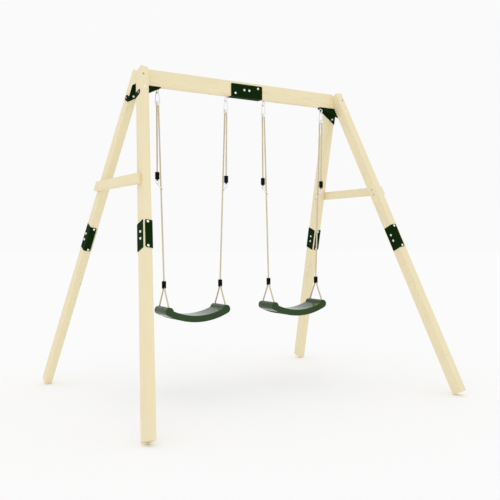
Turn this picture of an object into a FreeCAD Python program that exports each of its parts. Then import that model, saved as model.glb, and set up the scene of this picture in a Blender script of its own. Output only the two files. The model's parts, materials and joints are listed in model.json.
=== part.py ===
import FreeCAD, Part
import math
import os

from FreeCAD import Matrix, Placement, Rotation, Vector

# Timber swing set with two moulded seats. Millimetres, +Z up, +X along the beam.
# The origin is on the ground, midway between the two A-frames.

# ---- A-frames ----
leg_length = 2030.0
leg_width = 45.0            # across the frame, from its inner to its outer face
leg_depth = 72.0            # in the plane of the frame
leg_lean = 22.8             # degrees that each leg leans along Y
frame_splay = 9.3           # degrees that each frame leans outwards along X
apex_drop = 26.0            # beam top down to a leg's top inner corner, in the frame
apex_trim = 8.5             # how far that corner passes the centre before it is mitred
brace_drop = 635.0          # beam top down to the brace's top edge, in the frame
brace_height = 53.0
brace_thickness = 30.0
brace_inset = 20.0          # brace end to the leg's outward edge

# ---- beam ----
beam_span = 1321.0          # between the frames, along the beam's top edge
beam_height = 90.0
beam_thickness = 45.0
tenon_gap = 0.4             # wedge tenon to each leg
tenon_top_drop = 4.0        # tenon's thin top edge, below the point where the legs part

# ---- sheet steel ----
sheet = 2.5
splice_length = 152.0
splice_offset = 10.0        # plates sit this far below the middle of the leg
splice_wide_margin = 6.5    # free edge of the wide flange to the leg's edge
splice_narrow_flange = 38.0
splice_corner_radius = 9.0
splice_close_pitch = 38.0   # two bolts in the wide flange
splice_far_pitch = 132.0    # two bolts in the narrow flange
channel_length = 220.0
channel_height = 77.0
channel_corner_radius = 8.0
channel_side_gap = 0.2      # beam face to channel wall
channel_bolt_spots = [(-80.0, 20.0), (-17.5, 43.5), (17.5, 43.5), (80.0, 62.0)]
bracket_reach = 110.0       # corner bracket along the beam, from the frame's inner face
bracket_drop = 98.0         # depth of a web at the frame's outer face, along the leg
bracket_tip = 6.0           # depth of a web at its tip
tab_length = 55.0
tab_height = 32.0
corner_bolt_drop = 137.0    # along the leg, from its top end

# ---- fasteners ----
bolt_radius = 4.0
bolt_head_radius = 7.4
bolt_head_height = 4.0
nut_height = 6.5
nut_grip = 4.5              # length of shank inside a dome nut
hole_clearance = 0.1        # radial, in timber and sheet steel
screw_radius = 2.75
screw_head_radius = 5.5
screw_head_height = 2.8
apex_screw_length = 72.0
apex_screw_recess = 12.0
apex_screw_drop = 54.0
apex_screw_stagger = 8.0    # front and rear screws pass each other inside the tenon
brace_screw_length = 58.0
brace_screw_pitch = 34.0
tab_screw_length = 30.0

# ---- eye screws and snap hooks ----
outer_eye_inset = 80.5      # frame's inner edge at the beam's top, to the outer eye
inner_eye_gap = 24.0        # end of the beam's channel to the inner eye
eye_radius = 14.0           # to the middle of the wire
eye_wire = 3.25             # wire radius
eye_shank_radius = 4.0
eye_shank_length = 62.0
eye_collar_radius = 9.0
eye_collar_height = 3.0
hook_wire = 3.0             # wire radius
hook_top_radius = 8.0       # to the middle of the wire
hook_corner_radius = 8.5
hook_flat = 12.4            # straight stretch that the thimble hangs on
hook_height = 67.0          # pivot down to the middle of the bottom wire
hook_nose = 14.0            # wire that runs on past the top arc, on the gate's side
link_gap = 0.35             # hanging clearance between two links
gate_tongue = 1.1           # half thickness of the flat tongues
gate_slot_gap = 0.15
gate_pin_radius = 1.25
gate_pin_gap = 0.05
gate_end_gap = 0.3

# ---- ropes ----
rope_radius = 5.0
rope_fit = 0.15             # rope to clamp bore, radial
groove_gap = 0.6            # rope to the thimble's channel
rope_inset = 39.0           # hook to seat rope, along the beam
thimble_bore = 4.0
thimble_wall = 1.2
thimble_half_width = 6.8
thimble_skirt = 6.3         # middle of the bore down to the hood's rim
clamp_radius = 12.5
clamp_height = 42.0
clamp_edge = 2.0
upper_clamp_drop = 406.0    # thimble centre to the middle of the upper clamp
upper_clamp_offset = 4.5    # along Y, away from the other strand
rope_drop = 1104.0          # beam underside to the lower clamps' tops
seat_hang = 104.0           # lower clamp to the top of a roll
tilt_depth = 4.0            # seat hinge below the lower clamp's top
tilt_limit = 25.0           # degrees
mouth_gap = 0.3
lug_thickness = 4.0
lug_width = 10.0
lug_height = 10.0
ring_radius = 10.5          # to the middle of the wire
ring_wire = 2.0
adjuster_sheet = 2.5
adjuster_width = 18.0
adjuster_step = 25.0        # ring's bottom down to where the rope passes
adjuster_hole = 5.0
adjuster_rope_gap = 0.5
strand_gap = 0.3            # half the gap between the strands in a lower clamp

# ---- seat ----
seat_depth = 160.0
roll_radius = 25.0
seat_sag = 67.5             # roll centre down to the lowest point
band_thickness = 38.0
seat_edge = 2.5
seat_blend = 10.0           # between a roll and the seat's top
seat_skin = 4.0
seat_rim = 5.0
seat_rib = 3.0
rib_bays = 6
rope_entry = 67.0           # bend of the rope inside a roll, along Y
rope_bend_drop = 4.5        # roll top down to that bend
rope_bend_run = 11.0
seat_hole_gap = 0.3

# ---- derived ----
lean = math.radians(leg_lean)
splay = math.radians(frame_splay)
beam_top = (apex_drop + leg_length * math.cos(lean)) * math.cos(splay)
beam_bottom = beam_top - beam_height
inner_eye = channel_length / 2 + inner_eye_gap
outer_eye = beam_span / 2 - outer_eye_inset
swing_offset = (outer_eye + inner_eye) / 2      # middle of the set to the middle of each swing
hook_offset = (outer_eye - inner_eye) / 2       # middle of a swing to each hook
rope_offset = hook_offset - rope_inset          # middle of a swing to each seat rope
collar_bottom = beam_bottom - sheet - eye_collar_height
eye_height = collar_bottom - eye_radius - eye_wire + 1.0
pivot_height = eye_height - eye_radius + eye_wire + hook_wire + link_gap + 0.7
hook_bottom = pivot_height - hook_height
thimble_height = hook_bottom - thimble_bore + hook_wire + link_gap
groove_radius = rope_radius + groove_gap
arch_radius = thimble_bore + thimble_wall + groove_radius
lower_clamp_top = beam_bottom - rope_drop
tilt_height = lower_clamp_top - tilt_depth
clamp_bottom = lower_clamp_top - clamp_height
roll_top = clamp_bottom - seat_hang
roll_height = roll_top - roll_radius

along_frame = Vector(math.cos(splay), 0, math.sin(splay))
up_frame = Vector(-math.sin(splay), 0, math.cos(splay))
down_leg = up_frame * -math.cos(lean) + Vector(0, -math.sin(lean), 0)
out_leg = up_frame * math.sin(lean) + Vector(0, -math.cos(lean), 0)
frame_corner = Vector(beam_span / 2, 0, beam_top)
leg_corner = frame_corner + Vector(0, apex_trim, 0) - up_frame * apex_drop
X_PLANE = Vector(1, 0, 0)
Y_PLANE = Vector(0, 1, 0)
QUARTERS = [(end, side) for end in ("front", "rear") for side in ("left", "right")]


def leg_frame():
    """Leg axes: x from the inner face, y from the inward edge, z down from the top end."""
    return Placement(Matrix(
        along_frame.x, out_leg.x, down_leg.x, leg_corner.x,
        along_frame.y, out_leg.y, down_leg.y, leg_corner.y,
        along_frame.z, out_leg.z, down_leg.z, leg_corner.z,
        0, 0, 0, 1))


def in_quarter(shape, end, side):
    """Turn a shape in leg axes into its place on one of the four legs."""
    placed = shape.copy()
    placed.Placement = leg_frame().multiply(placed.Placement)
    if side == "left":
        placed = placed.mirror(Vector(), X_PLANE)
    if end == "rear":
        placed = placed.mirror(Vector(), Y_PLANE)
    return placed


def on_side(shape, side):
    return shape.mirror(Vector(), X_PLANE) if side == "left" else shape


def aimed(shape, point, direction):
    """Put a shape that is built along +Z at a point, along a direction."""
    placed = shape.copy()
    placed.Placement = Placement(point, Rotation(Vector(0, 0, 1), direction))
    return placed


def block(low, high):
    size = Vector(*high) - Vector(*low)
    return Part.makeBox(size.x, size.y, size.z, Vector(*low))


def rod(radius, start, end):
    span = end - start
    return Part.makeCylinder(radius, span.Length, start, span)


def extruded(points, direction):
    return Part.Face(Part.makePolygon(points + points[:1])).extrude(direction)


# ---- fasteners, built with the seat of the head at z = 0 and the shank along +Z ----

def dome(radius, height):
    ball = (radius ** 2 + height ** 2) / (2 * height)
    cap = Part.makeSphere(ball, Vector(0, 0, ball - height))
    return cap.common(Part.makeCylinder(radius, height, Vector(0, 0, -height)))


def dome_bolt(grip):
    shank = Part.makeCylinder(bolt_radius, grip + nut_grip)
    return dome(bolt_head_radius, bolt_head_height).fuse(shank).removeSplitter()


def dome_nut():
    """Sits on the far face, open towards the bolt's head."""
    body = dome(bolt_head_radius, nut_height)
    return body.cut(Part.makeCylinder(bolt_radius + 0.02, nut_grip + 0.1, Vector(), Vector(0, 0, -1)))


def through_bolt(point, direction, grip):
    far = point + direction * grip
    return aimed(dome_bolt(grip), point, direction), aimed(dome_nut(), far, direction * -1)


def bolt_hole(point, direction, grip):
    return rod(bolt_radius + hole_clearance, point - direction * 5, point + direction * (grip + 5))


def wood_screw(length):
    point = Part.makeCone(screw_radius, 0.5, screw_radius * 2, Vector(0, 0, length - screw_radius * 2))
    shank = Part.makeCylinder(screw_radius, length - screw_radius * 2)
    return dome(screw_head_radius, screw_head_height).fuse([shank, point]).removeSplitter()


def screw_hole(point, direction, length):
    return rod(screw_radius + hole_clearance, point - direction * 0.5, point + direction * (length + 1))


# ---- positions on a leg, in leg axes ----

def splice_spots():
    """Bolt axes through the splice: near face, direction and timber thickness."""
    middle = leg_length / 2 + splice_offset
    wide = leg_depth / 2 + splice_wide_margin / 2
    narrow = leg_width / 2
    spots = [(Vector(0, wide, middle + step), X_PLANE, leg_width)
             for step in (-splice_close_pitch / 2, splice_close_pitch / 2)]
    spots += [(Vector(narrow, leg_depth, middle + step), Y_PLANE * -1, leg_depth)
              for step in (-splice_far_pitch / 2, splice_far_pitch / 2)]
    return spots


def corner_bolt_spot():
    return Vector(leg_width / 2, leg_depth, corner_bolt_drop), Y_PLANE * -1


def apex_screw_spot(end):
    shift = apex_screw_stagger if end == "front" else -apex_screw_stagger
    return Vector(leg_width / 2 + shift, leg_depth - apex_screw_recess, apex_screw_drop), Y_PLANE * -1


def tab_screw_spot():
    drop = under_beam(leg_width) + bracket_drop - tab_height / 2
    return Vector(leg_width + sheet, tab_length - tab_height / 2, drop), X_PLANE * -1


def under_beam(across):
    """Distance down the leg's inward edge to the level of the beam's underside."""
    level = (beam_height + across * math.sin(splay)) / math.cos(splay)
    return (level - apex_drop) / math.cos(lean)


def brace_screw_spots():
    """Two screws from the leg's inner face into the brace, one above the other."""
    drop = (brace_drop + brace_height / 2 - apex_drop) / math.cos(lean)
    middle = Vector(0, leg_depth / 2, drop + leg_depth / 2 * math.tan(lean))
    return [(middle + Vector(0, 0, step), X_PLANE)
            for step in (-brace_screw_pitch / 2, brace_screw_pitch / 2)]


# ---- frame pieces ----

def leg_envelope(gap=0.0):
    return block((-gap, -gap, -gap), (leg_width + gap, leg_depth + gap, leg_length))


def leg_blank(end):
    """The whole leg in leg axes, with its holes, before it is parted at the splice."""
    leg = leg_envelope()
    holes = [bolt_hole(point, along, grip) for point, along, grip in splice_spots()]
    point, along = corner_bolt_spot()
    holes.append(bolt_hole(point, along, leg_depth))
    point, along = apex_screw_spot(end)
    holes.append(screw_hole(point, along, apex_screw_length))
    holes.append(rod(bolt_head_radius - 1, point, point - along * (apex_screw_recess + 5)))
    point, along = tab_screw_spot()
    holes.append(screw_hole(point, along, tab_screw_length))
    for point, along in brace_screw_spots():
        seat = point + along * screw_head_height
        holes.append(screw_hole(seat, along, brace_screw_length))
        holes.append(rod(screw_head_radius + hole_clearance, point - along, seat))
    return leg.cut(holes)


def leg_halves(end, side):
    """The upper half is mitred where the two legs of a frame meet."""
    leg = leg_blank(end)
    middle = leg_length / 2
    upper = leg.common(block((-1, -1, -1), (leg_width + 1, leg_depth + 1, middle)))
    lower = leg.common(block((-1, -1, middle), (leg_width + 1, leg_depth + 1, leg_length + 1)))
    reach = leg_length
    past_centre = block((-reach, 0, 0), (reach, reach, 2 * reach)) if end == "front" else \
        block((-reach, -reach, 0), (reach, 0, 2 * reach))
    return in_quarter(upper, end, side).cut(past_centre), in_quarter(lower, end, side)


def splice_plate():
    """Angle round the leg's inner face and outward edge, in leg axes."""
    top = leg_length / 2 + splice_offset - splice_length / 2
    wide = block((-sheet, splice_wide_margin, top), (0, leg_depth + sheet, top + splice_length))
    narrow = block((-sheet, leg_depth, top), (splice_narrow_flange, leg_depth + sheet, top + splice_length))
    ends = [edge for edge in narrow.Edges
            if abs(edge.BoundBox.XMin - splice_narrow_flange) < 0.01 and edge.BoundBox.ZLength < 0.01
            and edge.BoundBox.YLength > 1]
    narrow = narrow.makeFillet(splice_corner_radius, ends)
    return wide.fuse(narrow).removeSplitter()


def splice_plates():
    """The second plate is the first one turned half round the leg's axis."""
    first = splice_plate()
    second = first.copy()
    second.rotate(Vector(leg_width / 2, leg_depth / 2, 0), Vector(0, 0, 1), 180)
    pair = []
    for plate in (first, second):
        holes = [bolt_hole(point, along, grip) for point, along, grip in splice_spots()]
        pair.append(plate.cut(holes))
    return pair


def apex_split():
    """Beam top down to the point where the legs' inward edges part, in the frame."""
    return apex_drop + apex_trim / math.tan(lean)


def beyond_frame(depth, bottom):
    """The space outwards of a plane parallel to the right-hand frame."""
    reach = beam_span
    low = frame_corner + along_frame * depth + up_frame * bottom + Vector(0, -reach, 0)
    high = low + up_frame * (reach - bottom)
    across = Vector(0, 2 * reach, 0)
    return extruded([low, high, high + across, low + across], along_frame * reach)


def beam_half(side):
    """Half the beam, ending in a wedge tenon that fills the gap between the legs."""
    half = beam_thickness / 2
    blank = block((0, -half, beam_bottom), (beam_span, half, beam_top))
    spots = [(abs(x), z) for x, z in channel_bolt_spots if (x > 0) == (side == "right")]
    envelope = leg_envelope(tenon_gap)
    envelope.translate(Vector(tenon_gap, 0, 0))
    outside = [beyond_frame(leg_width, -4 * beam_height),
               beyond_frame(0.0, -apex_split() - tenon_top_drop)]
    outside += [in_quarter(envelope, end, "right") for end in ("front", "rear")]
    outside += [bolt_hole(Vector(x, -half, beam_bottom + z), Y_PLANE, beam_thickness) for x, z in spots]
    outside += [rod(eye_shank_radius + hole_clearance, Vector(x, 0, beam_bottom - 1),
                    Vector(x, 0, beam_bottom + eye_shank_length + 2)) for x in (inner_eye, outer_eye)]
    for end in ("front", "rear"):
        point, along = apex_screw_spot(end)
        outside.append(in_quarter(screw_hole(point, along, apex_screw_length), end, "right"))
    return on_side(blank.cut(outside), side)


def beam_channel():
    """Folded channel that ties the two beam halves together."""
    half = beam_thickness / 2 + channel_side_gap
    length = channel_length / 2
    outer = block((-length, -half - sheet, beam_bottom - sheet), (length, half + sheet,
                                                                  beam_bottom + channel_height))
    corners = [edge for edge in outer.Edges
               if edge.BoundBox.YLength > 1 and edge.BoundBox.XLength < 0.01 and edge.BoundBox.ZLength < 0.01
               and edge.BoundBox.ZMin > beam_bottom]
    outer = outer.makeFillet(channel_corner_radius, corners)
    inner = block((-length - 1, -half, beam_bottom), (length + 1, half, beam_top + 1))
    grip = beam_thickness + 2 * (channel_side_gap + sheet)
    holes = [bolt_hole(Vector(x, -half - sheet, beam_bottom + z), Y_PLANE, grip)
             for x, z in channel_bolt_spots]
    return outer.cut([inner] + holes)


def brace(side):
    """Cross piece lapped on the frame's outer face, its ends cut parallel to the legs."""
    edge = (leg_depth / math.cos(lean) - apex_trim + (brace_drop - apex_drop) * math.tan(lean)
            - brace_inset / math.cos(lean))
    spread = brace_height * math.tan(lean)
    start = frame_corner + along_frame * leg_width
    top = start - up_frame * brace_drop
    low = top - up_frame * brace_height
    outline = [top + Vector(0, -edge, 0), top + Vector(0, edge, 0),
               low + Vector(0, edge + spread, 0), low + Vector(0, -edge - spread, 0)]
    holes = []
    for end in ("front", "rear"):
        for point, along in brace_screw_spots():
            holes.append(in_quarter(screw_hole(point + along * screw_head_height, along,
                                               brace_screw_length), end, "right"))
    return on_side(extruded(outline, along_frame * brace_thickness).cut(holes), side)


def bracket_web():
    """Web and tab of a corner bracket on the leg's inward edge, in leg axes."""
    outer = leg_width + sheet
    low_outer = under_beam(leg_width) + bracket_drop
    web = extruded([Vector(-bracket_reach, -sheet, 0), Vector(outer, -sheet, 0),
                    Vector(outer, -sheet, low_outer),
                    Vector(-bracket_reach, -sheet, under_beam(-bracket_reach) + bracket_tip)],
                   Vector(0, sheet, 0))
    radius = tab_height / 2
    tab = block((leg_width, -sheet, low_outer - tab_height), (outer, tab_length - radius, low_outer))
    end = Part.makeCylinder(radius, sheet, Vector(leg_width, tab_length - radius, low_outer - radius),
                            X_PLANE)
    return web.fuse([tab, end]).removeSplitter()


def bracket_top():
    """The plate under the beam, as wide as the gap between the legs there."""
    corners = []
    for across in (-bracket_reach, leg_width + sheet):
        drop = under_beam(across)
        point = leg_frame().multVec(Vector(across, 0, drop))
        corners.append(Vector(point.x, point.y, beam_bottom))
    mirrored = [Vector(point.x, -point.y, point.z) for point in reversed(corners)]
    return extruded(corners + mirrored, Vector(0, 0, -sheet))


def corner_bracket(side):
    """Trough of folded sheet under the beam's end, bolted to both legs."""
    webs = [in_quarter(bracket_web(), end, "right") for end in ("front", "rear")]
    trough = bracket_top().fuse(webs).removeSplitter()
    above = block((0, -beam_span, beam_bottom), (beam_span, beam_span, 2 * beam_top))
    holes = [above, rod(eye_shank_radius + hole_clearance, Vector(outer_eye, 0, 0),
                        Vector(outer_eye, 0, beam_top))]
    for end in ("front", "rear"):
        point, along = corner_bolt_spot()
        holes.append(in_quarter(bolt_hole(point, along, leg_depth), end, "right"))
        point, along = tab_screw_spot()
        holes.append(in_quarter(screw_hole(point, along, tab_screw_length), end, "right"))
    return on_side(trough.cut(holes), side)


# ---- groups of identical fasteners ----

def fasteners():
    """Every bolt, nut and screw of the frame, in groups of separate solids."""
    groups = {name: [] for name in ("splice_bolts", "channel_bolts", "corner_bolts", "dome_nuts",
                                    "apex_screws", "tab_screws", "brace_screws")}
    for end, side in QUARTERS:
        for point, along, timber in splice_spots():
            bolt, nut = through_bolt(point - along * sheet, along, timber + 2 * sheet)
            groups["splice_bolts"].append(in_quarter(bolt, end, side))
            groups["dome_nuts"].append(in_quarter(nut, end, side))
        point, along = corner_bolt_spot()
        bolt, nut = through_bolt(point, along, leg_depth + sheet)
        groups["corner_bolts"].append(in_quarter(bolt, end, side))
        groups["dome_nuts"].append(in_quarter(nut, end, side))
        point, along = apex_screw_spot(end)
        groups["apex_screws"].append(in_quarter(aimed(wood_screw(apex_screw_length), point, along),
                                                end, side))
        point, along = tab_screw_spot()
        groups["tab_screws"].append(in_quarter(aimed(wood_screw(tab_screw_length), point, along),
                                               end, side))
        for point, along in brace_screw_spots():
            seat = point + along * screw_head_height
            groups["brace_screws"].append(in_quarter(aimed(wood_screw(brace_screw_length), seat, along),
                                                     end, side))
    grip = beam_thickness + 2 * (channel_side_gap + sheet)
    for x, z in channel_bolt_spots:
        bolt, nut = through_bolt(Vector(x, -grip / 2, beam_bottom + z), Y_PLANE, grip)
        groups["channel_bolts"].append(bolt)
        groups["dome_nuts"].append(nut)
    return {name: Part.makeCompound(pieces) for name, pieces in groups.items()}


def eye_screw(x):
    ring = Part.makeTorus(eye_radius, eye_wire, Vector(x, 0, eye_height), X_PLANE)
    collar = Part.makeCylinder(eye_collar_radius, eye_collar_height, Vector(x, 0, collar_bottom))
    shank = Part.makeCylinder(eye_shank_radius, eye_shank_length, Vector(x, 0, collar_bottom))
    return ring.fuse([collar, shank]).removeSplitter()


def eye_washer(x):
    """Fills the thickness of the bracket at the two inner eyes."""
    disc = Part.makeCylinder(eye_collar_radius + 1, sheet, Vector(x, 0, beam_bottom - sheet))
    return disc.cut(rod(eye_shank_radius + hole_clearance, Vector(x, 0, 0), Vector(x, 0, beam_top)))


# ---- ropes ----

def rounded_path(points, radii):
    """Straight runs joined by tangent arcs."""
    edges, start = [], points[0]
    for before, corner, after, radius in zip(points, points[1:], points[2:], radii):
        arrive, leave = (corner - before).normalize(), (after - corner).normalize()
        half_turn = arrive.getAngle(leave) / 2
        reach = radius * math.tan(half_turn)
        first, last = corner - arrive * reach, corner + leave * reach
        towards = (leave - arrive).normalize()
        middle = corner + towards * (radius / math.cos(half_turn) - radius)
        edges += [Part.LineSegment(start, first).toShape(), Part.Arc(first, middle, last).toShape()]
        start = last
    edges.append(Part.LineSegment(start, points[-1]).toShape())
    return Part.Wire([edge for edge in edges if edge.Length > 1e-3])


def tube(path, radius):
    start = path.Edges[0]
    direction = start.tangentAt(start.FirstParameter)
    ring = Part.Wire(Part.makeCircle(radius, start.valueAt(start.FirstParameter), direction))
    return path.makePipeShell([ring], True, False)


def hook_x(swing, hook):
    return swing * swing_offset + hook * hook_offset


def rope_points(swing, hook):
    """From the upper clamp, over the thimble, to the mouth of the lower clamp."""
    x, seat_x = hook_x(swing, hook), swing * swing_offset + hook * rope_offset
    back = -hook * arch_radius
    top = thimble_height + arch_radius
    first, second = Vector(x, back, top), Vector(x, -back, top)
    clamp = clamp_centre(swing, hook)
    down = (clamp - first).normalize()
    return [clamp + down * (clamp_height / 2 - 3), first, second, Vector(seat_x, 0, tilt_height)]


def rope_radii(points):
    """The thimble sets the arch."""
    turns = []
    for before, corner, after in zip(points, points[1:], points[2:]):
        turns.append(math.tan((corner - before).getAngle(after - corner) / 2))
    radius = (points[2] - points[1]).Length / sum(turns) * 0.9995
    return [radius, radius]


def seat_rope_points(swing, hook):
    """From the lower clamp, through the seat's roll and back to the clamp."""
    x = swing * swing_offset + hook * rope_offset
    side = rope_radius + strand_gap
    exit_point = Vector(x, -side, clamp_bottom)
    entry = Vector(x, -rope_entry, roll_top - rope_bend_drop)
    slant = math.atan2(rope_entry - side, exit_point.z - entry.z)
    turned = (math.pi / 2 - slant) / 2
    low = entry + Vector(0, math.sin(turned), -math.cos(turned)) * rope_bend_run
    half = [Vector(x, -side, clamp_bottom + 18), exit_point, entry, low]
    return half + [Vector(x, -point.y, point.z) for point in reversed(half)]


def free_radii(points):
    """As large as the two runs at each corner allow."""
    radii = []
    for before, corner, after in zip(points, points[1:], points[2:]):
        shorter = min((corner - before).Length, (after - corner).Length)
        turn = (corner - before).getAngle(after - corner)
        radii.append(0.45 * shorter / math.tan(turn / 2))
    return radii


def rope(name, points, radii):
    path = rounded_path(points, radii)
    solid = tube(path, rope_radius)
    section = math.pi * rope_radius ** 2
    print(f"{name}: length {path.Length:.0f} mm, bend radii {[round(radius, 1) for radius in radii]}, "
          f"volume / (section x length) {solid.Volume / (section * path.Length):.4f}")
    return solid


def main_rope(swing, hook, name):
    """Its lower end is round, where it flexes in the clamp's mouth."""
    points = rope_points(swing, hook)
    solid = rope(name, points, rope_radii(points))
    tip = Part.makeSphere(rope_radius, points[-1], points[-1] - points[-2], 0, 90, 360)
    return solid.fuse(tip).removeSplitter()


def seat_rope(swing, hook, name):
    points = seat_rope_points(swing, hook)
    return rope(name, points, free_radii(points))


def seat_rope_space(swing, hook, gap):
    points = seat_rope_points(swing, hook)
    return tube(rounded_path(points, free_radii(points)), rope_radius + gap)


# ---- rope fittings ----

def barrel():
    body = Part.makeCylinder(clamp_radius, clamp_height, Vector(0, 0, -clamp_height / 2))
    return body.makeFillet(clamp_edge, [edge for edge in body.Edges if edge.BoundBox.ZLength < 0.01])


def upper_clamp(swing, hook):
    """Grips the rope's end; a lug below it holds the ring."""
    points = rope_points(swing, hook)
    down = (points[0] - points[1]).normalize()
    low = clamp_height / 2
    lug = block((-lug_thickness / 2, -lug_width / 2, low - 1),
                (lug_thickness / 2, lug_width / 2, low + lug_height / 2 - 1))
    tip = Part.makeCylinder(lug_width / 2, lug_thickness,
                            Vector(-lug_thickness / 2, 0, low + lug_height / 2 - 1), X_PLANE)
    hole = Part.makeCylinder(ring_wire + 0.7, 2 * lug_thickness,
                             Vector(-lug_thickness, 0, low + lug_height / 2 - 1), X_PLANE)
    bore = Part.makeCylinder(rope_radius + rope_fit, clamp_height - 2,
                             Vector(0, 0, -clamp_height / 2 - 1))
    body = barrel().fuse([lug, tip]).removeSplitter().cut([hole, bore])
    return aimed(body, clamp_centre(swing, hook), down)


def clamp_centre(swing, hook):
    return Vector(hook_x(swing, hook), -hook * upper_clamp_offset, thimble_height - upper_clamp_drop)


def ring_centre(swing, hook):
    points = rope_points(swing, hook)
    down = (points[0] - points[1]).normalize()
    drop = clamp_height / 2 + lug_height / 2 - 1 + ring_radius
    return clamp_centre(swing, hook) + down * drop


def adjuster_ring(swing, hook):
    return Part.makeTorus(ring_radius, ring_wire, ring_centre(swing, hook), Y_PLANE)


def adjuster(swing, hook):
    """Two-hole plate: the ring holds its upper end, the rope runs through the lower."""
    upper = ring_centre(swing, hook) - Vector(0, 0, ring_radius)
    high, low = rope_points(swing, hook)[2:]
    along_rope = (low - high).normalize()
    crossing = high + along_rope * ((upper.z - adjuster_step - high.z) / along_rope.z)
    length = (crossing - upper).normalize()
    normal = Y_PLANE.cross(length).normalize()
    width = normal.cross(length)
    reach, half = (crossing - upper).Length, adjuster_width / 2
    lower_end = reach + rope_radius / abs(along_rope.dot(normal)) + 5 - half
    plate = block((0, -half, -adjuster_sheet / 2), (lower_end, half, adjuster_sheet / 2))
    ends = [Part.makeCylinder(half, adjuster_sheet, Vector(x, 0, -adjuster_sheet / 2))
            for x in (0, lower_end)]
    plate = plate.fuse(ends).removeSplitter()
    plate = plate.cut(Part.makeCylinder(adjuster_hole, 4 * adjuster_sheet,
                                        Vector(0, 0, -2 * adjuster_sheet)))
    plate.Placement = Placement(Matrix(length.x, width.x, normal.x, upper.x,
                                       length.y, width.y, normal.y, upper.y,
                                       length.z, width.z, normal.z, upper.z, 0, 0, 0, 1))
    return plate.cut(rod(rope_radius + adjuster_rope_gap, crossing - along_rope * 60,
                         crossing + along_rope * 60))


def lower_clamp(swing, hook):
    """Its flared mouth leaves room for the rope to flex as the seat tilts."""
    x = swing * swing_offset + hook * rope_offset
    body = barrel()
    body.translate(Vector(x, 0, lower_clamp_top - clamp_height / 2))
    pivot = Vector(x, 0, tilt_height)
    flare = math.radians(tilt_limit + 2)
    start = rope_radius / math.cos(flare) + mouth_gap
    height = tilt_depth + 1
    cone = Part.makeCone(start, start + height * math.tan(flare), height, pivot)
    socket = Part.makeSphere(start, pivot)
    return body.cut([cone, socket, seat_rope_space(swing, hook, rope_fit)])


def thimble(swing, hook):
    """Nylon hood round the hook's bottom wire; the rope passes over the bore inside it."""
    width = 2 * thimble_half_width
    radius = arch_radius + groove_radius + thimble_wall
    centre = Vector(hook_x(swing, hook), 0, thimble_height)
    corner = centre - Vector(thimble_half_width, 0, 0)
    sides = block(corner - Vector(0, radius, thimble_skirt), corner + Vector(width, radius, 0))
    body = Part.makeCylinder(radius, width, corner, X_PLANE).fuse(sides)
    below = block(corner - Vector(1, 2 * radius, 2 * radius),
                  corner + Vector(width + 1, 2 * radius, -thimble_skirt))
    bore = Part.makeCylinder(thimble_bore, width + 2, corner - Vector(1, 0, 0), X_PLANE)
    points = rope_points(swing, hook)
    channel = tube(rounded_path(points, rope_radii(points)), groove_radius)
    return body.cut([below, bore, channel]).removeSplitter()


# ---- snap hooks, in axes with the pivot at the origin and the gate at +X ----

def gate_line():
    """The straight side of the hook's outline: its lower and upper ends."""
    top = Vector(0, 0, -hook_top_radius)
    low = Vector(hook_flat / 2, 0, hook_corner_radius - hook_height)
    span = (low - top).Length
    line = (low - top).normalize()
    lean_in = (hook_top_radius - hook_corner_radius) / span
    outward = line * lean_in + Vector(-line.z, 0, line.x) * math.sqrt(1 - lean_in ** 2)
    return low + outward * hook_corner_radius, top + outward * hook_top_radius


def gate_place():
    lower, upper = gate_line()
    up = (upper - lower).normalize()
    return lower + up * (hook_wire + 0.2), up


def gate_length():
    lower, upper = gate_line()
    return (upper - lower).Length - hook_wire - 0.2 - hook_nose - gate_end_gap


def snap_hook():
    """Bent wire, open on one side, with a flat tongue at each end for the gate."""
    lower, upper = gate_line()
    left_lower, left_upper = (Vector(-point.x, 0, point.z) for point in (lower, upper))
    flat_right, flat_left = (Vector(x, 0, -hook_height) for x in (hook_flat / 2, -hook_flat / 2))
    middles = []
    for side, end in ((-1, left_lower), (1, lower)):
        centre = Vector(side * hook_flat / 2, 0, hook_corner_radius - hook_height)
        bisector = ((end - centre).normalize() + Vector(0, 0, -1)).normalize()
        middles.append(centre + bisector * hook_corner_radius)
    nose = upper + (lower - upper).normalize() * hook_nose
    path = Part.Wire([
        Part.LineSegment(nose, upper).toShape(),
        Part.Arc(upper, Vector(), left_upper).toShape(),
        Part.LineSegment(left_upper, left_lower).toShape(),
        Part.Arc(left_lower, middles[0], flat_left).toShape(),
        Part.LineSegment(flat_left, flat_right).toShape(),
        Part.Arc(flat_right, middles[1], lower).toShape()])
    pin, up = gate_place()
    width, reach = hook_wire - 0.2, gate_length()
    tongues = block((-width, -gate_tongue, -hook_wire - 1), (width, gate_tongue, 0)).fuse(
        [Part.makeCylinder(width, 2 * gate_tongue, Vector(0, -gate_tongue, 0), Y_PLANE),
         block((-width, -gate_tongue, reach - 2.2), (width, gate_tongue, reach + gate_end_gap + 1))])
    tongues = tongues.cut(Part.makeCylinder(gate_pin_radius + gate_pin_gap, 6, Vector(0, -3, 0), Y_PLANE))
    return tube(path, hook_wire).fuse(aimed(tongues, pin, up)).removeSplitter()


def gate():
    """Rod, forked round both tongues, with its hinge pin."""
    pin, up = gate_place()
    reach = gate_length()
    slot = gate_tongue + gate_slot_gap
    body = Part.makeCylinder(hook_wire, reach).fuse(Part.makeSphere(hook_wire))
    body = body.cut([block((-4, -slot, -4), (4, slot, 0)),
                     Part.makeCylinder(hook_wire + 0.5, 2 * slot, Vector(0, -slot, 0), Y_PLANE),
                     block((-4, -slot, reach - 2.6), (4, slot, reach + 1))])
    hinge_pin = Part.makeCylinder(gate_pin_radius, 5, Vector(0, -2.5, 0), Y_PLANE)
    return aimed(body.fuse(hinge_pin).removeSplitter(), pin, up)


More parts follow.
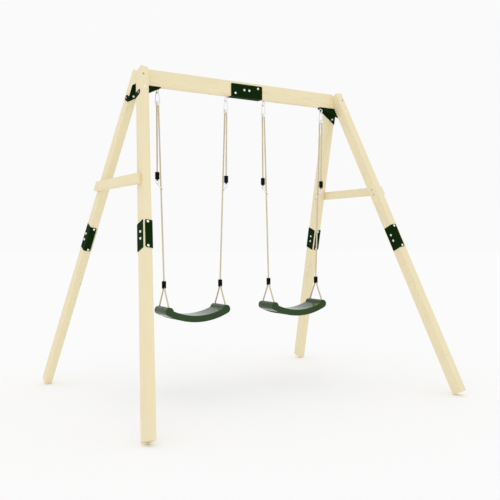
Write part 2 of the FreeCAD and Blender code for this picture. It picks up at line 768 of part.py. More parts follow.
def at_hook(shape, swing, hook):
    """The gate faces the middle of its swing."""
    placed = shape.copy()
    if hook > 0:
        placed.rotate(Vector(), Vector(0, 0, 1), 180)
    placed.translate(Vector(hook_x(swing, hook), 0, pivot_height))
    return placed


# ---- seat ----

def seat_arcs():
    """Centre height and radii of the band's top and underside, in the seat's middle."""
    across = rope_offset
    low_radius = (across ** 2 + seat_sag ** 2 - roll_radius ** 2) / (2 * (seat_sag - roll_radius))
    centre = roll_height - seat_sag + low_radius
    return centre, low_radius, low_radius - band_thickness


def seat_outline():
    centre, low_radius, top_radius = seat_arcs()
    middle, y = Vector(0, 0, centre), -seat_depth / 2
    roll = Vector(rope_offset, 0, roll_height)
    span = (roll - middle).Length
    line = (roll - middle).normalize()
    tangent = middle + line * low_radius
    along = (span ** 2 + top_radius ** 2 - roll_radius ** 2) / (2 * span)
    inward = Vector(line.z, 0, -line.x)
    joint = middle + line * along + inward * math.sqrt(top_radius ** 2 - along ** 2)
    crown = roll + ((tangent - roll).normalize() + (joint - roll).normalize()
                    + Vector(0, 0, 2)).normalize() * roll_radius
    spots = {"tangent": tangent, "joint": joint, "crown": crown}
    right = {name: Vector(spot.x, y, spot.z) for name, spot in spots.items()}
    left = {name: Vector(-spot.x, y, spot.z) for name, spot in spots.items()}
    low, top = Vector(0, y, centre - low_radius), Vector(0, y, centre - top_radius)
    return Part.Wire([
        Part.Arc(left["tangent"], low, right["tangent"]).toShape(),
        Part.Arc(right["tangent"], right["crown"], right["joint"]).toShape(),
        Part.Arc(right["joint"], top, left["joint"]).toShape(),
        Part.Arc(left["joint"], left["crown"], left["tangent"]).toShape()])


def seat_pockets():
    """Hollows between the ribs under the seat."""
    centre, low_radius, top_radius = seat_arcs()
    half_angle = (rope_offset - roll_radius - seat_rim) / top_radius
    step = 2 * half_angle / rib_bays
    rib_angle = seat_rib / top_radius
    high, deep = top_radius + seat_skin, low_radius + band_thickness
    row = (seat_depth - 2 * seat_rim - seat_rib) / 2
    pockets = []
    for bay in range(rib_bays):
        start = -half_angle + bay * step
        angles = (start, start + step - rib_angle)
        for y in (-seat_depth / 2 + seat_rim, seat_rib / 2):
            corners = [Vector(radius * math.sin(angle), y, centre - radius * math.cos(angle))
                       for radius in (high, deep) for angle in angles]
            bulge = [Vector(radius * math.sin(sum(angles) / 2), y,
                            centre - radius * math.cos(sum(angles) / 2)) for radius in (high, deep)]
            edge = Part.Wire([
                Part.Arc(corners[0], bulge[0], corners[1]).toShape(),
                Part.LineSegment(corners[1], corners[3]).toShape(),
                Part.Arc(corners[3], bulge[1], corners[2]).toShape(),
                Part.LineSegment(corners[2], corners[0]).toShape()])
            pockets.append(Part.Face(edge).extrude(Vector(0, row, 0)))
    return pockets


def seat(swing):
    """Moulded seat: a curved band with a roll at each end, ribbed underneath."""
    outline = seat_outline()
    body = Part.Face(outline).extrude(Vector(0, seat_depth, 0))
    joint_height = outline.Edges[2].firstVertex().Point.z
    joints = [edge for edge in body.Edges
              if edge.BoundBox.YLength > 1 and abs(edge.CenterOfMass.z - joint_height) < 0.5]
    body = body.makeFillet(seat_blend, joints)
    rims = [edge for edge in body.Edges if edge.BoundBox.YLength < 0.01]
    body = body.makeFillet(seat_edge, rims).cut(seat_pockets())
    body.translate(Vector(swing * swing_offset, 0, 0))
    return body.cut([seat_rope_space(swing, hook, seat_hole_gap) for hook in (-1, 1)])


# ---- all nodes ----

def frame_nodes():
    nodes = {}
    for end, side in QUARTERS:
        upper, lower = leg_halves(end, side)
        nodes[f"{end}_{side}_upper_leg"] = upper
        nodes[f"{end}_{side}_lower_leg"] = lower
        nodes[f"{end}_{side}_splice_plates"] = Part.makeCompound(
            [in_quarter(plate, end, side) for plate in splice_plates()])
    for side in ("left", "right"):
        nodes[f"{side}_beam"] = beam_half(side)
        nodes[f"{side}_brace"] = brace(side)
        nodes[f"{side}_corner_bracket"] = corner_bracket(side)
    nodes["beam_channel"] = beam_channel()
    nodes.update(fasteners())
    nodes["eye_screws"] = Part.makeCompound([eye_screw(hook_x(swing, hook))
                                             for swing in (-1, 1) for hook in (-1, 1)])
    nodes["eye_washers"] = Part.makeCompound([eye_washer(side * inner_eye) for side in (-1, 1)])
    return nodes


def swing_nodes(swing, name):
    nodes = {f"{name}_seat": seat(swing)}
    pairs = {"upper_clamps": upper_clamp, "lower_clamps": lower_clamp,
             "adjuster_rings": adjuster_ring, "thimbles": thimble}
    for group, make in pairs.items():
        nodes[f"{name}_{group}"] = Part.makeCompound([make(swing, hook) for hook in (-1, 1)])
    for hook in (-1, 1):
        place = "outer" if hook == swing else "inner"
        nodes[f"{name}_{place}_rope"] = main_rope(swing, hook, f"{name} {place} rope")
        nodes[f"{name}_{place}_seat_rope"] = seat_rope(swing, hook, f"{name} {place} seat rope")
        nodes[f"{name}_{place}_adjuster"] = adjuster(swing, hook)
        nodes[f"{name}_{place}_hook"] = at_hook(snap_hook(), swing, hook)
        nodes[f"{name}_{place}_gate"] = at_hook(gate(), swing, hook)
    return nodes


def main():
    nodes = frame_nodes()
    nodes.update(swing_nodes(-1, "left"))
    nodes.update(swing_nodes(1, "right"))
    os.makedirs("parts", exist_ok=True)
    for name, shape in nodes.items():
        if not shape.isValid():
            print(f"{name}: not a valid shape")
        shape.exportStep(f"parts/{name}.step")
    print(f"{len(nodes)} nodes, beam top {beam_top:.0f} mm above the ground")


main()
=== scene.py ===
# %% [markdown]
# # A timber swing set with two moulded seats
# The metal, timber and plastic parts arrive from the CAD model with their exact sizes and places.
# This notebook gives them their looks: pine with grain that runs along each board, powder coat,
# bright zinc, glossy plastic, and ropes that are laid from three strands. Blender works in metres.

# %% Load the frame
import json
import math
import random

import bmesh
import bpy
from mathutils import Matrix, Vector

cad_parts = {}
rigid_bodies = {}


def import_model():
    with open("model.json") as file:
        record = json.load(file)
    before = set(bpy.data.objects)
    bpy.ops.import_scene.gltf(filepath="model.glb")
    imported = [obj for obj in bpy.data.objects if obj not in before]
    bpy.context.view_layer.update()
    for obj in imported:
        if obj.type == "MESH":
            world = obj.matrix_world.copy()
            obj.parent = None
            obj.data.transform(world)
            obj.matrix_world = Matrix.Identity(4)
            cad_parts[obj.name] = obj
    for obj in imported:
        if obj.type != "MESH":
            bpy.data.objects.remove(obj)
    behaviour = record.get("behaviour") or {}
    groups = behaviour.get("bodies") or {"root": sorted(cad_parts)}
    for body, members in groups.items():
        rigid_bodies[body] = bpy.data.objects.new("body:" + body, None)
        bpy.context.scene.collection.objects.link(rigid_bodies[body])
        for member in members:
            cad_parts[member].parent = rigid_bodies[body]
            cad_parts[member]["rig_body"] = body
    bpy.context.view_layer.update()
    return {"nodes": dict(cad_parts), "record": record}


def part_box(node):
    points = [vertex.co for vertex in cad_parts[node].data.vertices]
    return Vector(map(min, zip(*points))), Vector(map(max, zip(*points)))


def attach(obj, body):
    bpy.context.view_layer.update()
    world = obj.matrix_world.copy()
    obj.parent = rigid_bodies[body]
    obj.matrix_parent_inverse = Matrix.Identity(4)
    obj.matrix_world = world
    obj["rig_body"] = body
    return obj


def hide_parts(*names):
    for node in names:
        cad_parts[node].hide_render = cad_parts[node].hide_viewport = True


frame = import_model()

body_of = {name: part["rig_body"] for name, part in frame["nodes"].items()}

# %% [markdown]
# ## The camera
# A person stands in front of the left-hand frame and looks along the beam from about hip height.
# The lens is close to a normal one, so the near leg looms a little over the far ones, as it should.

# %% Place the camera
CAMERA_PLACE = Vector((-2.2269, -3.6903, 0.8963))
CAMERA_TURN = math.radians(31.53)
CAMERA_TILT = math.radians(0.556)

camera_data = bpy.data.cameras.new("camera")
camera_data.lens = 50.628
camera_data.sensor_width = 36.0
camera = bpy.data.objects.new("camera", camera_data)
camera.location = CAMERA_PLACE
camera.rotation_euler = (math.pi / 2 - CAMERA_TILT, 0, -CAMERA_TURN)
bpy.context.scene.collection.objects.link(camera)
bpy.context.scene.camera = camera
print("camera at", [round(value, 2) for value in CAMERA_PLACE])

# %% [markdown]
# ## The line of each rope
# A swing's rope comes out of its upper clamp, climbs to the hook, goes over a grooved thimble and
# runs straight down to the seat. Below the lower clamp a second rope makes a loop through the seat.
# Both are pulled tight, so a few control points describe them, and a NURBS curve of order three
# rounds the corners. The order is set after the points, or the curve would stay a chain of
# straight runs.

# %% Control points of the ropes
SWING_MIDDLE = 0.357
HOOK_OFFSET = 0.223
ROPE_OFFSET = 0.184
UPPER_CLAMP = (0.0042, 1.2623)
THIMBLE_TURN = (0.0108, 1.6971)
LOWER_MOUTH = 0.6744
NEAR_TURN = 0.060


def main_route(swing, hook):
    """Upper clamp, over the thimble, lower clamp's mouth."""
    hook_x = swing * SWING_MIDDLE + hook * HOOK_OFFSET
    seat_x = swing * SWING_MIDDLE + hook * ROPE_OFFSET
    start = Vector((hook_x, -hook * UPPER_CLAMP[0], UPPER_CLAMP[1]))
    rise = Vector((hook_x, -hook * THIMBLE_TURN[0], THIMBLE_TURN[1]))
    fall = Vector((hook_x, hook * THIMBLE_TURN[0], THIMBLE_TURN[1]))
    end = Vector((seat_x, 0, LOWER_MOUTH))
    before = rise + (start - rise).normalized() * NEAR_TURN
    after = fall + (end - fall).normalized() * NEAR_TURN
    return [start, before, rise, fall, after, end]


def seat_route(swing, hook):
    """Lower clamp, down through the seat's roll, across and back up."""
    x = swing * SWING_MIDDLE + hook * ROPE_OFFSET
    half = [(-0.0053, 0.6544), (-0.0053, 0.6364), (-0.0670, 0.5279), (-0.0615, 0.5184)]
    return ([Vector((x, y, z)) for y, z in half]
            + [Vector((x, -y, z)) for y, z in reversed(half)])


def spline_line(points):
    """Points along the smooth curve that has these control points."""
    curve = bpy.data.curves.new("route", "CURVE")
    curve.dimensions = "3D"
    curve.resolution_u = 24
    spline = curve.splines.new("NURBS")
    spline.points.add(len(points) - 1)
    for point, place in zip(spline.points, points):
        point.co = (*place, 1)
    spline.order_u = 3
    spline.use_endpoint_u = True
    guide = bpy.data.objects.new("route", curve)
    mesh = bpy.data.meshes.new_from_object(guide)
    line = [vertex.co.copy() for vertex in mesh.vertices]
    bpy.data.objects.remove(guide)
    bpy.data.curves.remove(curve)
    bpy.data.meshes.remove(mesh)
    return line


def line_length(line):
    return sum((b - a).length for a, b in zip(line, line[1:]))


routes = {}
for swing, side in ((-1, "left"), (1, "right")):
    for hook in (-1, 1):
        place = "outer" if hook == swing else "inner"
        routes[f"{side}_{place}_rope"] = spline_line(main_route(swing, hook))
        routes[f"{side}_{place}_seat_rope"] = spline_line(seat_route(swing, hook))
for name, line in routes.items():
    print(name, f"{line_length(line):.3f} m")

# %% [markdown]
# ## Writing node trees as sums
# Both materials and Geometry Nodes are trees of nodes. Three small classes keep them readable here:
# `Net` adds any node with its settings and inputs, `Added` finds a node's outputs by name, and
# `Term` wraps an output so that `a * 2 + b` makes the Math nodes by itself.

# %% Small classes for node trees
class Term:
    """A node's output, which can be used in sums."""

    def __init__(self, net, socket):
        self.net, self.socket = net, socket

    def math(self, operation, *others):
        values = dict(enumerate((self, *others)))
        return self.net.add("ShaderNodeMath", {"operation": operation}, values)["Value"]

    def __add__(self, other):
        return self.math("ADD", other)

    def __sub__(self, other):
        return self.math("SUBTRACT", other)

    def __mul__(self, other):
        return self.math("MULTIPLY", other)

    def __truediv__(self, other):
        return self.math("DIVIDE", other)

    def __rsub__(self, other):
        return self.net.add("ShaderNodeMath", {"operation": "SUBTRACT"}, {0: other, 1: self})["Value"]

    __radd__ = __add__
    __rmul__ = __mul__

    def between(self, low, high):
        """0 below low, 1 above high, and smooth in between."""
        return self.net.add("ShaderNodeMapRange", {"interpolation_type": "SMOOTHSTEP"},
                            {"Value": self, "From Min": low, "From Max": high})["Result"]


class Added:
    """A node that was added: its outputs by name."""

    def __init__(self, net, node):
        self.net, self.node = net, node

    def __getitem__(self, name):
        found = [socket for socket in self.node.outputs if socket.name == name and socket.enabled]
        return Term(self.net, found[0])


class Net:
    """A node tree."""

    def __init__(self, tree):
        self.tree = tree

    def add(self, kind, settings=None, sockets=None):
        node = self.tree.nodes.new(kind)
        for name, value in (settings or {}).items():
            setattr(node, name, value)
        for name, value in (sockets or {}).items():
            self.feed(node, name, value)
        return Added(self, node)

    def feed(self, node, name, value):
        if isinstance(name, int):
            target = node.inputs[name]
        else:
            target = [socket for socket in node.inputs if socket.name == name and socket.enabled][0]
        for one in value if isinstance(value, list) else [value]:
            if isinstance(one, Term):
                self.tree.links.new(one.socket, target)
            else:
                target.default_value = one


def mixed(net, factor, low, high):
    """A colour between two others."""
    sockets = {"Factor": factor, "A": low, "B": high}
    return net.add("ShaderNodeMix", {"data_type": "RGBA"}, sockets)["Result"]


def noise(net, place, scale, detail=3.0, roughness=0.5):
    sockets = {"Vector": place, "Scale": scale, "Detail": detail, "Roughness": roughness}
    return net.add("ShaderNodeTexNoise", {}, sockets)["Fac"]


def finish_of(name, **fixed):
    """A new material with one Principled shader; fixed values go on the shader's own sockets."""
    material = bpy.data.materials.new(name)
    material.use_nodes = True
    material.node_tree.nodes.clear()
    net = Net(material.node_tree)
    shader = net.add("ShaderNodeBsdfPrincipled")
    net.add("ShaderNodeOutputMaterial", {}, {"Surface": shader["BSDF"]})
    for key, value in fixed.items():
        net.feed(shader.node, key.replace("_", " "), value)
    return material, net, shader.node


def relief(net, shader, height, depth):
    """A bump, with its depth in metres."""
    bump = net.add("ShaderNodeBump", {}, {"Height": height, "Distance": depth, "Strength": 1.0})
    net.feed(shader, "Normal", bump["Normal"])


print("node classes ready")

# %% [markdown]
# ## Pine
# Planed softwood is pale, with growth rings that run as long streaks on the faces and as arcs on
# the sawn ends. A picture wrapped round the board would give the wrong ends. Instead each board
# carries an attribute with its own axes, its third one along the grain, and the colour is worked
# out in that solid: rings round a pith that lies outside the board, fine fibres along it, and a
# few small knots.

# %% Pine material
RING_WIDTH = 0.0042
RING_WAVER = 0.020
KNOT_SWELL = 0.006
PALE_WOOD = (0.875, 0.775, 0.520, 1)
RING_WOOD = (0.780, 0.640, 0.375, 1)
KNOT_WOOD = (0.480, 0.310, 0.150, 1)


def pine():
    material, net, shader = finish_of("pine", Specular_IOR_Level=0.35)
    grain = net.add("ShaderNodeAttribute", {"attribute_name": "grain"})["Vector"]
    axes = net.add("ShaderNodeSeparateXYZ", {}, {"Vector": grain})
    across, deep, along = axes["X"], axes["Y"], axes["Z"]
    slow = net.add("ShaderNodeCombineXYZ", {},
                   {"X": across * 4, "Y": deep * 4, "Z": along * 1.1})["Vector"]
    waver = noise(net, slow, 2.0, 2.0) - 0.5
    turn = net.add("ShaderNodeMath", {"operation": "ARCTAN2"}, {0: deep, 1: across})["Value"]
    knot_plane = net.add("ShaderNodeCombineXYZ", {},
                         {"X": turn * 1.7, "Y": along * 2.3, "Z": 0.0})["Vector"]
    knot = net.add("ShaderNodeTexVoronoi", {"voronoi_dimensions": "2D"},
                   {"Vector": knot_plane, "Scale": 1.0, "Randomness": 1.0})["Distance"]
    knotty = 1 - knot.between(0.006, 0.022)
    swell = 1 - knot.between(0.0, 0.11)
    flat = net.add("ShaderNodeCombineXYZ", {}, {"X": across, "Y": deep, "Z": 0.0})["Vector"]
    radius = net.add("ShaderNodeVectorMath", {"operation": "LENGTH"}, {0: flat})["Value"]
    rings = (radius + waver * RING_WAVER + swell * KNOT_SWELL) / RING_WIDTH
    late = rings.math("FRACT").math("POWER", 2.2)
    patch = noise(net, slow, 5.0, 2.0)
    fine = net.add("ShaderNodeCombineXYZ", {},
                   {"X": across * 900, "Y": deep * 900, "Z": along * 14})["Vector"]
    fibre = noise(net, fine, 1.0, 4.0, 0.6)
    tone = late * 0.34 + (fibre - 0.5) * 0.22 + (patch - 0.5) * 0.55 + 0.12
    wood = mixed(net, tone.between(0.0, 1.0), PALE_WOOD, RING_WOOD)
    net.feed(shader, "Base Color", mixed(net, knotty * 0.55, wood, KNOT_WOOD))
    net.feed(shader, "Roughness", 0.60 - late * 0.08 + (fibre - 0.5) * 0.15)
    relief(net, shader, late * 0.6 + fibre * 0.5, 0.00010)
    return material


pine_finish = pine()
print("pine:", len(pine_finish.node_tree.nodes), "nodes")

# %% [markdown]
# ## Boards
# A board from the CAD model has knife-sharp edges, and timber is always planed with the edge just
# broken. A copy of each board is merged into one skin, its flat faces are joined up again, and the
# long edges get a small bevel, which also catches a thin line of light. The same step reads the
# board's own axes off its longest edge and its largest face, for the grain.

# %% Make the boards
EDGE_BREAK = 0.0018
LONG_EDGE = 0.020
PITH_AWAY = 0.062


def skin_of(node):
    """A copy of a CAD part's mesh, merged, with its flat faces in one piece."""
    skin = bmesh.new()
    skin.from_mesh(frame["nodes"][node].data)
    bmesh.ops.remove_doubles(skin, verts=skin.verts, dist=1e-5)
    bmesh.ops.dissolve_limit(skin, angle_limit=math.radians(1), verts=skin.verts, edges=skin.edges)
    return skin


def break_edges(skin, width, shortest, segments=2):
    """Bevel the sharp edges that are longer than a given length."""
    sharp = [edge for edge in skin.edges if len(edge.link_faces) == 2
             and edge.calc_length() > shortest and edge.calc_face_angle() > math.radians(50)]
    bmesh.ops.bevel(skin, geom=sharp, offset=width, segments=segments, affect="EDGES",
                    profile=0.5, clamp_overlap=True)
    return len(sharp)


def piece_from(skin, name, material, replaced, smooth_angle=40):
    """Turn a bmesh into a piece that rides where its CAD part did."""
    mesh = bpy.data.meshes.new(name)
    skin.to_mesh(mesh)
    skin.free()
    mesh.materials.append(material)
    mesh.shade_smooth()
    mesh.set_sharp_from_angle(angle=math.radians(smooth_angle))
    piece = bpy.data.objects.new(name, mesh)
    bpy.context.scene.collection.objects.link(piece)
    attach(piece, body_of[replaced])
    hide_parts(replaced)
    return piece


def board(node, seed):
    skin = skin_of(node)
    longest = max(skin.edges, key=lambda edge: edge.calc_length())
    along = (longest.verts[1].co - longest.verts[0].co).normalized()
    along = along if along.z + along.x > 0 else -along
    across = max(skin.faces, key=lambda face: face.calc_area()).normal.copy()
    deep = along.cross(across)
    low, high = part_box(node)
    middle = (low + high) / 2
    chance = random.Random(seed)
    turn = chance.uniform(0, 2 * math.pi)
    away = PITH_AWAY * chance.uniform(0.7, 1.4)
    shift = Vector((away * math.cos(turn), away * math.sin(turn), chance.uniform(0, 9)))
    broken = break_edges(skin, EDGE_BREAK, LONG_EDGE)
    piece = piece_from(skin, f"{node}_board", pine_finish, node, 30)
    grain = piece.data.attributes.new("grain", "FLOAT_VECTOR", "POINT")
    for vertex, value in zip(piece.data.vertices, grain.data):
        offset = vertex.co - middle
        value.vector = Vector((offset.dot(across), offset.dot(deep), offset.dot(along))) + shift
    return broken


board_nodes = sorted(name for name in frame["nodes"] if name.endswith(("_leg", "_beam", "_brace")))
for number, node in enumerate(board_nodes):
    print(node, board(node, 40 + number), "edges broken")

# %% [markdown]
# ## Steel finishes
# The brackets are powder coated, which leaves a faint orange-peel texture and a dull sheen. Bolts
# and screws are zinc plated. Hooks, eyes and rings are polished, with fine drawing marks.

# %% Steel materials
def powder_coat():
    material, net, shader = finish_of("powder_coat", Specular_IOR_Level=0.03)
    place = net.add("ShaderNodeTexCoord")["Object"]
    peel = noise(net, place, 900.0, 2.0)
    cloud = noise(net, place, 14.0, 3.0)
    net.feed(shader, "Base Color", mixed(net, cloud, (0.003, 0.016, 0.001, 1), (0.005, 0.022, 0.002, 1)))
    net.feed(shader, "Roughness", 0.62 + (cloud - 0.5) * 0.15)
    relief(net, shader, peel, 0.00012)
    return material


def plated(name, dark, light, roughness):
    material, net, shader = finish_of(name, Metallic=1.0)
    place = net.add("ShaderNodeTexCoord")["Object"]
    cloud = noise(net, place, 220.0, 3.0)
    scratch = noise(net, place, 1600.0, 2.0)
    net.feed(shader, "Base Color", mixed(net, cloud.between(0.3, 0.7), dark, light))
    net.feed(shader, "Roughness", roughness + (cloud - 0.5) * 0.18)
    relief(net, shader, scratch, 0.00002)
    return material


finishes = {
    "bracket_paint": powder_coat(),
    "zinc_bolts": plated("zinc", (0.84, 0.85, 0.84, 1), (0.95, 0.95, 0.94, 1), 0.38),
    "screw_steel": plated("plated_screws", (0.42, 0.38, 0.30, 1), (0.62, 0.58, 0.48, 1), 0.32),
    "bright_steel": plated("polished_steel", (0.80, 0.80, 0.81, 1), (0.94, 0.94, 0.95, 1), 0.20),
}
print("steel:", ", ".join(finishes))

# %% [markdown]
# ## Plastic finishes
# The seats are moulded in a glossy green, with a barely uneven skin that makes the reflections
# swim. Clamps are satin black, and thimbles are a near-white nylon.

# %% Plastic materials
def moulded(name, dark, light, roughness, wave, **fixed):
    material, net, shader = finish_of(name, **fixed)
    place = net.add("ShaderNodeTexCoord")["Object"]
    cloud = noise(net, place, 9.0, 2.0)
    skin = noise(net, place, 38.0, 2.0)
    pores = noise(net, place, 1400.0, 2.0)
    net.feed(shader, "Base Color", mixed(net, cloud, dark, light))
    net.feed(shader, "Roughness", roughness + (pores - 0.5) * 0.10 + (skin - 0.5) * 0.06)
    relief(net, shader, skin * wave + pores * 0.06, 0.0004)
    return material


finishes["seat_plastic"] = moulded("seat_green", (0.016, 0.047, 0.009, 1), (0.021, 0.059, 0.012, 1),
                                   0.16, 0.4, Specular_IOR_Level=0.28)
finishes["clamp_plastic"] = moulded("clamp_black", (0.002, 0.002, 0.002, 1), (0.005, 0.005, 0.005, 1),
                                    0.50, 0.2, Specular_IOR_Level=0.05)
finishes["thimble_plastic"] = moulded("thimble_white", (0.90, 0.90, 0.88, 1), (0.94, 0.94, 0.92, 1),
                                      0.40, 0.2)

slot_of = {part["node"]: part["material_slot"] for part in frame["record"]["subparts"]}
for name, part in frame["nodes"].items():
    finish = finishes.get(slot_of[name])
    if finish:
        for index in range(len(part.data.materials)):
            part.data.materials[index] = finish
print("plastics done; finished parts:", sum(slot_of[name] in finishes for name in frame["nodes"]))

# %% [markdown]
# ## Seats
# Each seat is one smooth moulding. The CAD mesh is made of loose triangles, and a gloss finish
# shows every facet, so a merged copy is shaded smooth with its normals weighted by face area,
# which keeps the flat fronts flat and lets only the rolled edges turn.

# %% Make the seats
def smooth_copy(node, name, angle):
    skin = bmesh.new()
    skin.from_mesh(frame["nodes"][node].data)
    bmesh.ops.remove_doubles(skin, verts=skin.verts, dist=1e-5)
    piece = piece_from(skin, name, finishes[slot_of[node]], node, angle)
    weigh = piece.modifiers.new("weigh", "WEIGHTED_NORMAL")
    weigh.keep_sharp = True
    weigh.weight = 80
    return piece


for side in ("left", "right"):
    seat = smooth_copy(f"{side}_seat", f"{side}_moulded_seat", 35)
    print(seat.name, len(seat.data.polygons), "faces")

# %% [markdown]
# ## Laying the ropes
# A rope is three strands twisted round each other. Modelling one strand by hand and bending it
# would never stay even, so Geometry Nodes lay them: the route is resampled, every point is pushed
# sideways by a turning angle, and a round profile is swept along it. The place round the strand
# and the distance along the rope are stored as two attributes for the fibres.

# %% Strand tree
STRAND_RADIUS = 0.00248
LAY_RADIUS = 0.00252
LAY_LENGTH = 0.034
LAY_STEP = 0.0035
STRAND_SIDES = 10


def rope_tree():
    tree = bpy.data.node_groups.new("laid_rope", "GeometryNodeTree")
    tree.interface.new_socket("Geometry", in_out="INPUT", socket_type="NodeSocketGeometry")
    for label, value in (("Strand radius", STRAND_RADIUS), ("Lay radius", LAY_RADIUS),
                         ("Lay length", LAY_LENGTH), ("Step", LAY_STEP)):
        socket = tree.interface.new_socket(label, in_out="INPUT", socket_type="NodeSocketFloat")
        socket.default_value = value
    tree.interface.new_socket("Finish", in_out="INPUT", socket_type="NodeSocketMaterial")
    tree.interface.new_socket("Geometry", in_out="OUTPUT", socket_type="NodeSocketGeometry")
    net = Net(tree)
    given = net.add("NodeGroupInput")
    line = net.add("GeometryNodeMeshToCurve", {}, {"Mesh": given["Geometry"]})["Curve"]
    fine = net.add("GeometryNodeResampleCurve", {"mode": "LENGTH"},
                   {"Curve": line, "Length": given["Step"]})["Curve"]
    distance = net.add("GeometryNodeSplineParameter")["Length"]
    normal = net.add("GeometryNodeInputNormal")["Normal"]
    tangent = net.add("GeometryNodeInputTangent")["Tangent"]
    side = net.add("ShaderNodeVectorMath", {"operation": "CROSS_PRODUCT"},
                   {0: tangent, 1: normal})["Vector"]
    profile = net.add("GeometryNodeCurvePrimitiveCircle", {},
                      {"Resolution": STRAND_SIDES, "Radius": given["Strand radius"]})["Curve"]
    strands = []
    for number in range(3):
        angle = distance / given["Lay length"] * (2 * math.pi) + number * 2 * math.pi / 3
        out = net.add("ShaderNodeVectorMath", {"operation": "SCALE"},
                      {0: normal, "Scale": angle.math("COSINE") * given["Lay radius"]})["Vector"]
        over = net.add("ShaderNodeVectorMath", {"operation": "SCALE"},
                       {0: side, "Scale": angle.math("SINE") * given["Lay radius"]})["Vector"]
        push = net.add("ShaderNodeVectorMath", {"operation": "ADD"}, {0: out, 1: over})["Vector"]
        kept = net.add("GeometryNodeStoreNamedAttribute", {"data_type": "FLOAT", "domain": "POINT"},
                       {"Geometry": fine, "Name": "rope_along", "Value": distance})["Geometry"]
        moved = net.add("GeometryNodeSetPosition", {}, {"Geometry": kept, "Offset": push})["Geometry"]
        turn = net.add("GeometryNodeSplineParameter")["Factor"]
        ring = net.add("GeometryNodeStoreNamedAttribute", {"data_type": "FLOAT", "domain": "POINT"},
                       {"Geometry": profile, "Name": "rope_around", "Value": turn})["Geometry"]
        strands.append(net.add("GeometryNodeCurveToMesh", {}, {"Curve": moved, "Profile Curve": ring,
                                                               "Fill Caps": True})["Mesh"])
    joined = net.add("GeometryNodeJoinGeometry", {}, {"Geometry": strands})["Geometry"]
    smooth = net.add("GeometryNodeSetShadeSmooth", {}, {"Geometry": joined})["Geometry"]
    real = net.add("GeometryNodeRealizeInstances", {}, {"Geometry": smooth})["Geometry"]
    coloured = net.add("GeometryNodeSetMaterial", {},
                       {"Geometry": real, "Material": given["Finish"]})["Geometry"]
    net.add("NodeGroupOutput", {}, {"Geometry": coloured})
    return tree


laid_rope = rope_tree()
print("strand tree:", len(laid_rope.nodes), "nodes")

# %% [markdown]
# ## Rope fibres
# Each strand is itself a bundle of yarns. They lie across the strand at a slant, so the pattern
# adds the distance along the rope to the angle round the strand, and bumps it. The colour is a
# hemp beige with painted shade: the same yarn pattern darkens it in the grooves between the yarns.

# %% Rope material
def rope_finish():
    material, net, shader = finish_of("rope_fibre", Specular_IOR_Level=0.2, Sheen_Weight=0.25)
    along = net.add("ShaderNodeAttribute", {"attribute_name": "rope_along"})["Fac"]
    around = net.add("ShaderNodeAttribute", {"attribute_name": "rope_around"})["Fac"]
    # the yarn pattern drives the bump, and in the colour it paints shade into the grooves between yarns
    yarn_relief_and_painted_shade = ((along * 420 + around * 5) * (2 * math.pi)).math("SINE") * 0.5 + 0.5
    place = net.add("ShaderNodeTexCoord")["Object"]
    fuzz = noise(net, place, 1500.0, 3.0)
    stain = noise(net, place, 12.0, 3.0)
    # tone: painted groove shade from the yarn pattern, plus random fuzz and stains
    tone = yarn_relief_and_painted_shade * 0.45 + (fuzz - 0.5) * 0.5 + (stain - 0.5) * 0.4 + 0.3
    net.feed(shader, "Base Color", mixed(net, tone.between(0.0, 1.0), (0.52, 0.44, 0.30, 1),
                                         (0.80, 0.71, 0.54, 1)))
    net.feed(shader, "Roughness", 0.82 + (fuzz - 0.5) * 0.2)
    relief(net, shader, yarn_relief_and_painted_shade * 0.7 + fuzz * 0.4, 0.0003)
    return material


rope_fibre = rope_finish()
print("rope fibre ready")

# %% Lay the ropes
def evaluated_mesh(piece):
    graph = bpy.context.evaluated_depsgraph_get()
    return bpy.data.meshes.new_from_object(piece.evaluated_get(graph))


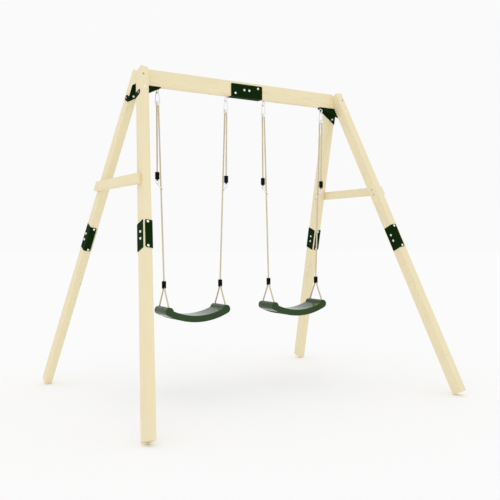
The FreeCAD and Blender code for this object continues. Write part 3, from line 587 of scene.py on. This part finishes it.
def lay_rope(name, line):
    guide_mesh = bpy.data.meshes.new(f"{name}_line")
    guide_mesh.from_pydata([tuple(point) for point in line], [(i, i + 1) for i in range(len(line) - 1)], [])
    guide = bpy.data.objects.new(f"{name}_line", guide_mesh)
    bpy.context.scene.collection.objects.link(guide)
    modifier = guide.modifiers.new("lay", "NODES")
    modifier.node_group = laid_rope
    for item in laid_rope.interface.items_tree:
        if item.in_out == "INPUT" and item.name == "Finish":
            modifier[item.identifier] = rope_fibre
    mesh = evaluated_mesh(guide)
    bpy.data.objects.remove(guide)
    mesh.name = f"{name}_laid"
    piece = bpy.data.objects.new(f"{name}_laid", mesh)
    bpy.context.scene.collection.objects.link(piece)
    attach(piece, body_of[name])
    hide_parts(name)
    line_length(line)
    return piece


for name, line in routes.items():
    piece = lay_rope(name, line)
    print(piece.name, len(piece.data.polygons), "faces")

# %% [markdown]
# ## Studio
# The set stands on a plain pale floor in soft light from all round: a bright, even sky does nearly
# all the work, and one very wide sun gives the faint shadows under the feet and seats. Floor and
# sky come out nearly equally bright, so the horizon almost disappears.

# %% Floor and light
SKY = 0.955
FLOOR_HALF = 60.0
SUN_STRENGTH = 0.14
SUN_SPREAD = math.radians(50)


def studio_floor():
    mesh = bpy.data.meshes.new("floor")
    corners = [(-FLOOR_HALF, -FLOOR_HALF, 0), (FLOOR_HALF, -FLOOR_HALF, 0),
               (FLOOR_HALF, FLOOR_HALF, 0), (-FLOOR_HALF, FLOOR_HALF, 0)]
    mesh.from_pydata(corners, [], [(0, 1, 2, 3)])
    material, net, shader = finish_of("floor_paint", Roughness=0.9, Specular_IOR_Level=0.0)
    place = net.add("ShaderNodeTexCoord")["Object"]
    tone = noise(net, place, 0.4, 1.0)
    net.feed(shader, "Base Color", mixed(net, tone, (0.972, 0.972, 0.974, 1), (0.976, 0.976, 0.976, 1)))
    mesh.materials.append(material)
    floor = bpy.data.objects.new("floor", mesh)
    bpy.context.scene.collection.objects.link(floor)


def studio_light():
    world = bpy.data.worlds.new("sky")
    world.use_nodes = True
    world.node_tree.nodes["Background"].inputs["Color"].default_value = (SKY, SKY, SKY * 1.002, 1)
    world.node_tree.nodes["Background"].inputs["Strength"].default_value = 1.0
    bpy.context.scene.world = world
    sun = bpy.data.lights.new("key", "SUN")
    sun.energy = SUN_STRENGTH
    sun.angle = SUN_SPREAD
    lamp = bpy.data.objects.new("key", sun)
    lamp.rotation_euler = (math.radians(28), math.radians(-14), 0)
    bpy.context.scene.collection.objects.link(lamp)
    bpy.context.scene.view_settings.view_transform = "Standard"


studio_floor()
studio_light()
print("studio ready")

# %% [markdown]
# ## Finish

# %% Finish
print("scene built")
